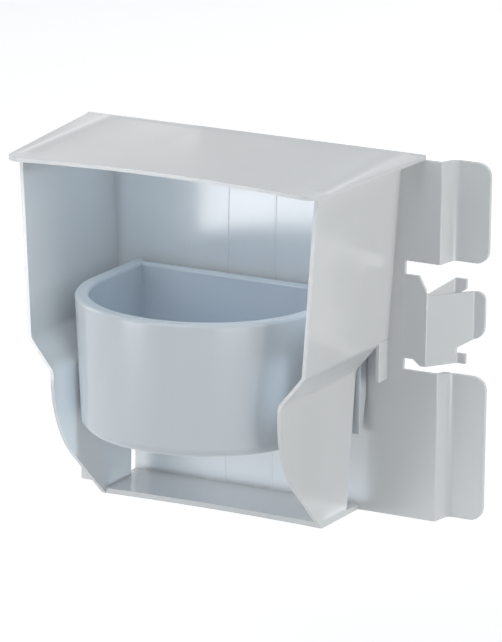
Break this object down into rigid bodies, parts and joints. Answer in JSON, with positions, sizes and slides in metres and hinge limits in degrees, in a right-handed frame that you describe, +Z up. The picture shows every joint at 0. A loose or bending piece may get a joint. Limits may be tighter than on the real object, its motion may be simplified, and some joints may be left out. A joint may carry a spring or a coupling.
{
  "type": "hooded bird cage seed cup",
  "caption": "Hooded seed cup for a bird cage: a D-shaped cup lifts out of a hood whose back plate, pads, hook and snap clip hold on to the cage wires.",
  "frame": {"origin": "rear face of the back plate, at half the plate's height and at the middle of the hood", "axes": "+X along the plate towards the pads and the snap clip, +Y out of the plate's rear face towards the wires, +Z up; the hood stands out towards -Y"},
  "size_m": [0.1712, 0.1007, 0.1464],
  "materials": {
    "hood_plastic": "glossy light grey injection moulding",
    "cup_plastic": "glossy bluish grey injection moulding"
  },
  "bodies": {
    "hood": {"back_plate": "hood_plastic", "left_side_wall": "hood_plastic", "right_side_wall": "hood_plastic", "roof": "hood_plastic", "floor_ledge": "hood_plastic", "left_cup_guide": "hood_plastic", "right_cup_guide": "hood_plastic", "left_cup_rest": "hood_plastic", "right_cup_rest": "hood_plastic", "upper_wire_pad": "hood_plastic", "lower_wire_pad": "hood_plastic", "wire_hook": "hood_plastic"},
    "snap_clip": {"clip_tongue": "hood_plastic", "clip_panel": "hood_plastic", "upper_catch": "hood_plastic", "lower_catch": "hood_plastic", "thumb_tab": "hood_plastic"},
    "cup": {"seed_cup": "cup_plastic", "cup_rim": "cup_plastic", "left_cup_ear": "cup_plastic", "right_cup_ear": "cup_plastic"}
  },
  "joints": [
    {"name": "clip_bend", "type": "hinge", "parent": "hood", "child": "snap_clip", "pos_m": [0.065, -0.0009, 0.0086], "axis": [0, 0, -1], "range_deg": [0, 12], "stiffness_Nm_per_rad": 0.3},
    {"name": "cup_slide", "type": "slide", "parent": "hood", "child": "cup", "axis": [0, 0, 1], "range_m": [0, 0.045]}
  ]
}
